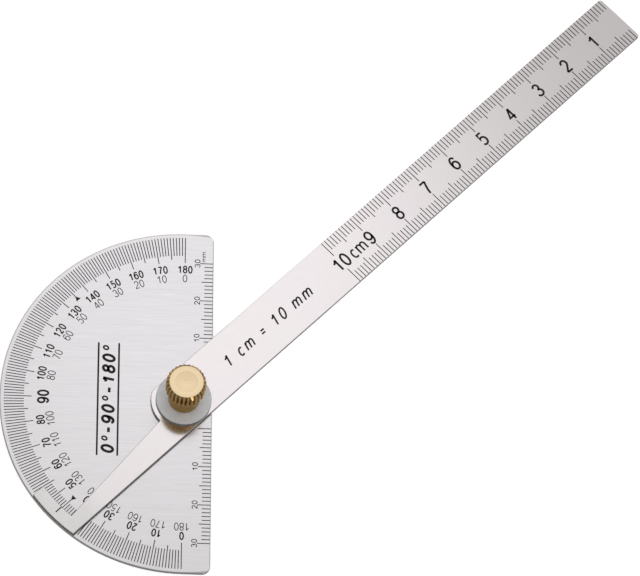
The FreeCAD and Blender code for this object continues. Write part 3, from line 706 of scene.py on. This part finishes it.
SIX = [oval(0.5, 0.32, 0.5, 0.32), [(0.0, 0.32)] + arc(0.53, 0.52, 0.53, 0.48, 180, 38)]
ARCHES = arc(0.4, 0.44, 0.4, 0.26, 180, 0) + [(0.8, 0.0)]
FIGURES = {
    "0": [oval(0.5, 0.5, 0.5, 0.5)],
    "1": [[(0.64, 0.0), (0.64, 1.0)], [(0.08, 0.72), (0.38, 0.79), (0.62, 0.97)]],
    "2": [arc(0.48, 0.71, 0.46, 0.29, 172, -38) + [(0.0, 0.0)], [(0.0, 0.0), (1.0, 0.0)]],
    "3": [arc(0.46, 0.76, 0.43, 0.24, 165, -90), arc(0.47, 0.27, 0.52, 0.27, 90, -163)],
    "4": [[(0.76, 0.0), (0.76, 1.0)], [(0.74, 1.0), (0.0, 0.27), (1.05, 0.27)]],
    "5": [[(0.92, 1.0), (0.18, 1.0), (0.1, 0.5)] + arc(0.46, 0.33, 0.54, 0.33, 115, -140)],
    "6": SIX,
    "7": [[(0.0, 1.0), (1.0, 1.0)], [(1.0, 1.0), (0.76, 0.72), (0.50, 0.32), (0.40, 0.0)]],
    "8": [oval(0.5, 0.77, 0.43, 0.23), oval(0.5, 0.27, 0.5, 0.27)],
    "9": half_turned(SIX),
    "c": [arc(0.45, 0.35, 0.45, 0.35, 48, 312)],
    "m": [[(0.0, 0.0), (0.0, 0.72)], ARCHES, [(x + 0.8, y) for x, y in ARCHES]],
    "d": [oval(0.3, 0.78, 0.3, 0.22)],
    "-": [[(0.0, 0.42), (0.8, 0.42)]],
    "=": [[(0.0, 0.30), (0.8, 0.30)], [(0.0, 0.58), (0.8, 0.58)]],
    " ": [],
}
FIGURE_WIDTHS = {"c": 0.8, "m": 1.6, "d": 0.6, "-": 0.8, "=": 0.8, " ": 0.25}
MITRE_LIMIT = 1.7
CLOSING_GAP = 0.01
DEGREE_SIGN_STROKE = 0.62


def stroke_edges(points, width):
    """Left and right edges of a stroke, with its corners mitred, and whether it is closed."""
    closed = (points[0] - points[-1]).length < width * CLOSING_GAP
    count = len(points)
    lefts, rights = [], []
    for i, point in enumerate(points):
        before = points[i - 1] if i else points[-2] if closed else None
        after = points[i + 1] if i < count - 1 else points[1] if closed else None
        arrive = (point - before).normalized() if before is not None else (after - point).normalized()
        leave = (after - point).normalized() if after is not None else arrive
        along = (arrive + leave).normalized()
        side = Vector((-along.y, along.x))
        reach = min(MITRE_LIMIT, 1 / max(0.1, along.dot(arrive))) * width / 2
        lefts.append(point + side * reach)
        rights.append(point - side * reach)
    return lefts, rights, closed


def add_stroke(build, points, width, depth, top, place):
    """Slab that follows a stroke, from the given depth up to the top."""
    lefts, rights, closed = stroke_edges([Vector(point) for point in points], width)
    rings = []
    for left, right in zip(lefts, rights):
        corners = ((left, top), (right, top), (right, top - depth), (left, top - depth))
        rings.append([build.verts.new(place @ Vector((*corner, height))) for corner, height in corners])
    if closed:
        for vert in rings.pop():
            build.verts.remove(vert)
        rings.append(rings[0])
    for near, far in zip(rings, rings[1:]):
        for i in range(4):
            j = (i + 1) % 4
            build.faces.new((near[i], near[j], far[j], far[i]))
    if not closed:
        build.faces.new(rings[0][::-1])
        build.faces.new(rings[-1])


def figure_length(letter, wide, stroke):
    """Width of one figure with its strokes."""
    return FIGURE_WIDTHS.get(letter, 1.0) * (wide - stroke) + stroke


def text_length(text, wide, stroke, gap):
    """Width of a row of figures, with the gaps between them."""
    return sum(figure_length(letter, wide, stroke) for letter in text) + gap * (len(text) - 1)


def add_text(build, text, style, top, place):
    """Figures in a row along X, centred on the origin of their place.

    style is height, width of one figure, stroke, gap and slant, all in metres but the last.
    """
    high, wide, stroke, gap, slant = style
    prints = print_sizes()
    cursor = -text_length(text, wide, stroke, gap) / 2
    for letter in text:
        width = stroke * DEGREE_SIGN_STROKE if letter == "d" else stroke
        for line in FIGURES[letter]:
            points = []
            for x, y in line:
                rise = stroke / 2 + y * (high - stroke) - high / 2
                points.append((cursor + stroke / 2 + x * (wide - stroke) + slant * rise, rise))
            add_stroke(build, points, width, prints.print_depth, top + prints.print_proud, place)
        cursor += figure_length(letter, wide, stroke) + gap


def finish_build(name, build, body):
    """Turns a build of closed shapes into a piece of ink."""
    bmesh.ops.recalc_face_normals(build, faces=build.faces)
    finish_piece(name, inked_mesh(build), body)


def printed_piece(name, body, texts):
    """One inked piece from texts, each with its style, face height and place."""
    build = bmesh.new()
    for text in texts:
        add_text(build, *text)
    finish_build(name, build, body)


def filled_piece(name, body, fills):
    """One inked piece from the outlines that filled or printed gives."""
    build = bmesh.new()
    for fill in fills:
        add_slab(build, *fill)
    finish_build(name, build, body)


def filled(corners, top, place):
    """Ink that fills a groove with this outline, in metres, in the plane of its place."""
    sizes = scale_sizes()
    high = top - sizes.ink_sink
    return corners, high, high - sizes.ink_fill, place


def printed(corners, top, place):
    """Ink printed on the face with this outline."""
    prints = print_sizes()
    high = top + prints.print_proud
    return corners, high, high - prints.print_depth, place


def add_slab(build, corners, high, low, place):
    """Closed slab with these corners, between two heights."""
    upper = [build.verts.new(place @ Vector((*corner, high))) for corner in corners]
    lower = [build.verts.new(place @ Vector((*corner, low))) for corner in corners]
    build.faces.new(upper)
    build.faces.new(lower[::-1])
    for i, vert in enumerate(upper):
        j = (i + 1) % len(upper)
        build.faces.new((vert, lower[i], lower[j], upper[j]))


def bar(centre, wide, high):
    """Corners of an upright rectangle whose centre is on the X axis."""
    signs = ((-1, -1), (1, -1), (1, 1), (-1, 1))
    return [(centre + u * wide / 2, v * high / 2) for u, v in signs]


def style(high, wide, stroke, gap, slant=0.0):
    """Style of a text from sizes in mm. The slant is sideways reach per height."""
    return high * MM, wide * MM, stroke * MM, gap * MM, slant


OUTER_STYLE = style(2.15, 1.16, 0.34, 0.13)
INNER_STYLE = style(2.08, 1.12, 0.2, 0.18)
NINETY_STYLE = style(3.0, 1.72, 0.5, 0.2)
EDGE_STYLE = style(1.45, 1.0, 0.2, 0.2)
EDGE_UNIT_STYLE = style(1.1, 0.85, 0.15, 0.16)
ARM_STYLE = style(3.9, 2.15, 0.54, 0.33)
ARM_UNIT_STYLE = style(3.7, 1.95, 0.46, 0.36)
TITLE_STYLE = style(3.35, 2.25, 0.68, 0.62, 0.2)
NOTE_STYLE = style(3.3, 1.8, 0.44, 0.9, 0.28)


def at(x, y):
    """Place in the plane of the face."""
    return Matrix.Translation((x, y, 0))


def at_reading(reading, radius):
    """Place on the degree ring where text runs round and its tops point outwards."""
    angle = math.radians(reading)
    spoke = Vector((-math.sin(angle), -math.cos(angle), 0)) * radius
    return Matrix.Translation(spoke) @ Matrix.Rotation(math.pi - angle, 4, "Z")


# Operators

class ANGLEFINDER_OT_finish_metals(bpy.types.Operator):
    """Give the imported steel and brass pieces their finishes"""
    bl_idname = "anglefinder.finish_metals"
    bl_label = "Finish Metals"

    def execute(self, context):
        colours = finish_colours()
        dress("protractor_head", brushed_stainless(colours))
        dress("pivot_stud", turned_steel(colours))
        dress("swing_arm", satin_stainless(colours))
        dress("flat_washer", tumbled_steel(colours))
        dress("thumb_nut", turned_brass(colours))
        return {"FINISHED"}


class ANGLEFINDER_OT_ink_degree_lines(bpy.types.Operator):
    """Fill the 181 degree lines with enamel"""
    bl_idname = "anglefinder.ink_degree_lines"
    bl_label = "Ink Degree Lines"

    def execute(self, context):
        sizes = scale_sizes()
        tree = line_tree("ring of degree lines", ("Step", "Outer radius"), on_ring)
        mesh = bake_tree(tree, {
            "Lines": DEGREE_LINES, "First number": 0, "Ink": ink_material(),
            "Plain": sizes.degree_line, "Five": sizes.five_degree_line, "Ten": sizes.ten_degree_line,
            "Width": sizes.line_width, "Thickness": sizes.ink_fill, "Top": HEAD_TOP - sizes.ink_sink,
            "Step": math.radians(1), "Outer radius": RIM_RADIUS - sizes.rim_margin})
        finish_piece("degree_line_ink", mesh, "head")
        return {"FINISHED"}


class ANGLEFINDER_OT_ink_edge_scales(bpy.types.Operator):
    """Fill the millimetre lines of the head's straight edge"""
    bl_idname = "anglefinder.ink_edge_scales"
    bl_label = "Ink Edge Scales"

    def execute(self, context):
        sizes = scale_sizes()
        tree = line_tree("row of edge lines", ("Pitch",), on_row)
        lengths = (sizes.edge_line, sizes.edge_five, sizes.edge_ten)
        parts = []
        for start in (sizes.edge_zero, -sizes.edge_zero - (EDGE_LINES - 1) * MM):
            place = at(EDGE_X - sizes.edge_break, start) @ QUARTER_TURN
            parts.append((row_of_lines(tree, EDGE_LINES, 0, lengths, HEAD_TOP), place))
        finish_piece("edge_scale_ink", join_meshes(parts), "head")
        return {"FINISHED"}


class ANGLEFINDER_OT_ink_arm_scales(bpy.types.Operator):
    """Fill the millimetre lines along both sides of the arm"""
    bl_idname = "anglefinder.ink_arm_scales"
    bl_label = "Ink Arm Scales"

    def execute(self, context):
        sizes = scale_sizes()
        tree = line_tree("row of arm lines", ("Pitch",), on_row)
        lengths = (sizes.arm_line, sizes.arm_five, sizes.arm_ten)
        side = sizes.arm_width / 2 - sizes.edge_break
        low = at(sizes.arm_reach - ARM_LINES * MM, -side)
        high = at(sizes.arm_reach - MM, side) @ HALF_TURN
        parts = []
        for first, place in ((0, low), (1, high)):
            parts.append((row_of_lines(tree, ARM_LINES, first, lengths, ARM_TOP), ARM_TURN @ place))
        finish_piece("arm_scale_ink", join_meshes(parts), "arm")
        return {"FINISHED"}


class ANGLEFINDER_OT_number_head(bpy.types.Operator):
    """Print the numbers of the degree ring and of the edge scales"""
    bl_idname = "anglefinder.number_head"
    bl_label = "Number Head"

    def execute(self, context):
        prints = print_sizes()
        outer, inner = [], []
        for reading in range(0, DEGREE_LINES, 10):
            if reading == 90:
                outer.append(("90", NINETY_STYLE, HEAD_TOP, at_reading(reading, prints.ninety)))
                continue
            out = at_reading(reading, prints.outer_numbers)
            back = at_reading(reading, prints.inner_numbers)
            outer.append((str(reading), OUTER_STYLE, HEAD_TOP, out))
            inner.append((str(180 - reading), INNER_STYLE, HEAD_TOP, back))
        edge = []
        for millimetres in (10, 20, 30):
            along = scale_sizes().edge_zero + millimetres * MM
            for side in (1, -1):
                place = at(prints.edge_numbers, side * along) @ QUARTER_TURN
                edge.append((str(millimetres), EDGE_STYLE, HEAD_TOP, place))
        place = at(prints.unit_across, prints.unit_along) @ QUARTER_TURN
        edge.append(("mm", EDGE_UNIT_STYLE, HEAD_TOP, place))
        printed_piece("outer_degree_numbers", "head", outer)
        printed_piece("inner_degree_numbers", "head", inner)
        printed_piece("edge_scale_numbers", "head", edge)
        return {"FINISHED"}


class ANGLEFINDER_OT_number_arm(bpy.types.Operator):
    """Print the centimetre numbers and the plain note along the arm"""
    bl_idname = "anglefinder.number_arm"
    bl_label = "Number Arm"

    def execute(self, context):
        prints = print_sizes()
        rows = []
        for centimetre in range(1, 10):
            along = scale_sizes().arm_reach - 10 * centimetre * MM
            rows.append((str(centimetre), ARM_STYLE, along))
        rows.append(("10", ARM_STYLE, prints.arm_ten))
        rows.append(("cm", ARM_UNIT_STYLE, prints.arm_unit))
        texts = []
        for text, look, along in rows:
            texts.append((text, look, ARM_TOP, ARM_TURN @ at(along, prints.arm_shift)))
        printed_piece("arm_numbers", "arm", texts)
        note = ("1 cm = 10 mm", NOTE_STYLE, ARM_TOP, ARM_TURN @ at(prints.arm_note, 0))
        printed_piece("arm_note", "arm", [note])
        return {"FINISHED"}


class ANGLEFINDER_OT_mark_head(bpy.types.Operator):
    """Print the plain range, its two rules and the arrows at 45 and 135 degrees"""
    bl_idname = "anglefinder.mark_head"
    bl_label = "Mark Head"

    def execute(self, context):
        prints = print_sizes()
        title = ("0d-90d-180d", TITLE_STYLE, HEAD_TOP, at(-prints.title, 0) @ QUARTER_TURN)
        printed_piece("range_title", "head", [title])
        fills = []
        for centre in (-prints.near_rule, -prints.far_rule):
            rule = bar(centre, prints.rule_width, prints.rule_length)
            fills.append(printed(rule, HEAD_TOP, Matrix.Identity(4)))
        half = prints.arrow_width / 2
        arrow = [(-half, -prints.arrow_height), (half, -prints.arrow_height), (0.0, 0.0)]
        for reading in (45, 135):
            fills.append(printed(arrow, HEAD_TOP, at_reading(reading, prints.arrow_tip)))
        filled_piece("rule_and_arrow_ink", "head", fills)
        return {"FINISHED"}


class ANGLEFINDER_OT_mark_arm(bpy.types.Operator):
    """Fill the index line on the arm's foot"""
    bl_idname = "anglefinder.mark_arm"
    bl_label = "Mark Arm"

    def execute(self, context):
        sizes = scale_sizes()
        line = bar(-sizes.index_middle, sizes.index_length, sizes.index_width)
        filled_piece("index_line_ink", "arm", [filled(line, ARM_TOP, ARM_TURN)])
        return {"FINISHED"}


class ANGLEFINDER_OT_stage(bpy.types.Operator):
    """Lay the white floor, hang the lamps and set the camera"""
    bl_idname = "anglefinder.stage"
    bl_label = "Stage"

    def execute(self, context):
        settings = context.scene.angle_finder_stage
        lay_floor(settings)
        light_world(settings)
        hang_lamps(settings)
        set_camera(settings)
        context.scene.view_settings.view_transform = "Standard"
        return {"FINISHED"}


def lay_floor(settings):
    """Paper just clear of the head's underside, so that the two faces don't flicker."""
    half = settings.floor_size / 2
    mesh = bpy.data.meshes.new("floor")
    corners = [(u * half, v * half, FLOOR_HEIGHT) for u, v in ((-1, -1), (1, -1), (1, 1), (-1, 1))]
    mesh.from_pydata(corners, [], [(0, 1, 2, 3)])
    mesh.materials.append(paper_floor())
    floor = bpy.data.objects.new("floor", mesh)
    bpy.context.scene.collection.objects.link(floor)


def light_world(settings):
    """White room, brighter overhead than at the horizon, seen as pure white."""
    world = bpy.data.worlds.new("studio")
    bpy.context.scene.world = world
    world.use_nodes = True
    tree = world.node_tree
    tree.nodes.clear()
    direction = add_node(tree, "ShaderNodeTexCoord", output="Generated")
    height = add_node(tree, "ShaderNodeSeparateXYZ", None, {0: direction}, "Z")
    glow = add_node(tree, "ShaderNodeMapRange", {"interpolation_type": "SMOOTHSTEP"}, {
        "Value": height, "From Min": 0.0, "From Max": FULL_SKY_HEIGHT,
        "To Min": settings.horizon, "To Max": settings.sky})
    seen = add_node(tree, "ShaderNodeLightPath", output="Is Camera Ray")
    strength = add_node(tree, "ShaderNodeMix", {"data_type": "FLOAT"}, {0: seen, 2: glow, 3: 1.0})
    tint = add_node(tree, "ShaderNodeMix", {"data_type": "RGBA"}, {
        0: seen, 6: rgba(ROOM_TINT), 7: rgba([1.0] * 3)}, 2)
    background = add_node(tree, "ShaderNodeBackground", None, {"Color": tint, "Strength": strength})
    add_node(tree, "ShaderNodeOutputWorld", None, {0: background})


def hang_lamp(name, place, across, brightness, tint):
    """Round soft lamp that faces the pivot."""
    lamp = bpy.data.lights.new(name, "AREA")
    lamp.shape = "DISK"
    lamp.size = across
    lamp.energy = brightness * math.pi * math.pi * across ** 2 / 4
    lamp.color = tint
    holder = bpy.data.objects.new(name, lamp)
    holder.location = place
    holder.rotation_euler = (-holder.location).to_track_quat("-Z", "Y").to_euler()
    holder.visible_camera = False
    bpy.context.scene.collection.objects.link(holder)


def hang_lamps(settings):
    """The flat faces mirror the softbox to the camera, and the knurl catches the sparkle.

    The softbox is made of nested discs, so it fades towards its rim.
    """
    for step in range(SOFTBOX_DISCS):
        place = settings.softbox_place + Vector((0, 0, settings.disc_spacing * step))
        across = settings.softbox_size + settings.disc_growth * step
        hang_lamp("softbox", place, across, settings.softbox, SOFTBOX_TINT)
    hang_lamp("sparkle", settings.sparkle_place, settings.sparkle_size, settings.sparkle, SPARKLE_TINT)


def set_camera(settings):
    """Camera that takes the photographed view."""
    lens = bpy.data.cameras.new("camera")
    lens.sensor_width = SENSOR_WIDTH
    lens.lens = settings.lens
    lens.clip_start = CLIP_NEAR
    lens.clip_end = CLIP_FAR
    camera = bpy.data.objects.new("camera", lens)
    camera.location = settings.camera_place
    camera.rotation_euler = settings.camera_turn
    bpy.context.scene.collection.objects.link(camera)
    bpy.context.scene.camera = camera


OPERATORS = (
    ANGLEFINDER_OT_finish_metals,
    ANGLEFINDER_OT_ink_degree_lines,
    ANGLEFINDER_OT_ink_edge_scales,
    ANGLEFINDER_OT_ink_arm_scales,
    ANGLEFINDER_OT_number_head,
    ANGLEFINDER_OT_number_arm,
    ANGLEFINDER_OT_mark_head,
    ANGLEFINDER_OT_mark_arm,
    ANGLEFINDER_OT_stage,
)


class ANGLEFINDER_PT_panel(bpy.types.Panel):
    """Lists the settings and the steps that make the angle finder's looks"""
    bl_idname = "ANGLEFINDER_PT_panel"
    bl_label = "Angle Finder"
    bl_space_type = "VIEW_3D"
    bl_region_type = "UI"
    bl_category = "Angle Finder"

    def draw(self, context):
        for group in GROUPS:
            settings = getattr(context.scene, group)
            box = self.layout.box()
            for name in settings.__annotations__:
                box.prop(settings, name)
        for operator in OPERATORS:
            self.layout.operator(operator.bl_idname)


CLASSES = (*GROUPS.values(), *OPERATORS, ANGLEFINDER_PT_panel)


def register():
    for item in CLASSES:
        bpy.utils.register_class(item)
    for name, group in GROUPS.items():
        setattr(bpy.types.Scene, name, bpy.props.PointerProperty(type=group))


def unregister():
    for name in GROUPS:
        delattr(bpy.types.Scene, name)
    for item in reversed(CLASSES):
        bpy.utils.unregister_class(item)


def main():
    register()
    for operator in OPERATORS:
        group, name = operator.bl_idname.split(".")
        getattr(getattr(bpy.ops, group), name)()


if __name__ == "__main__":
    main()
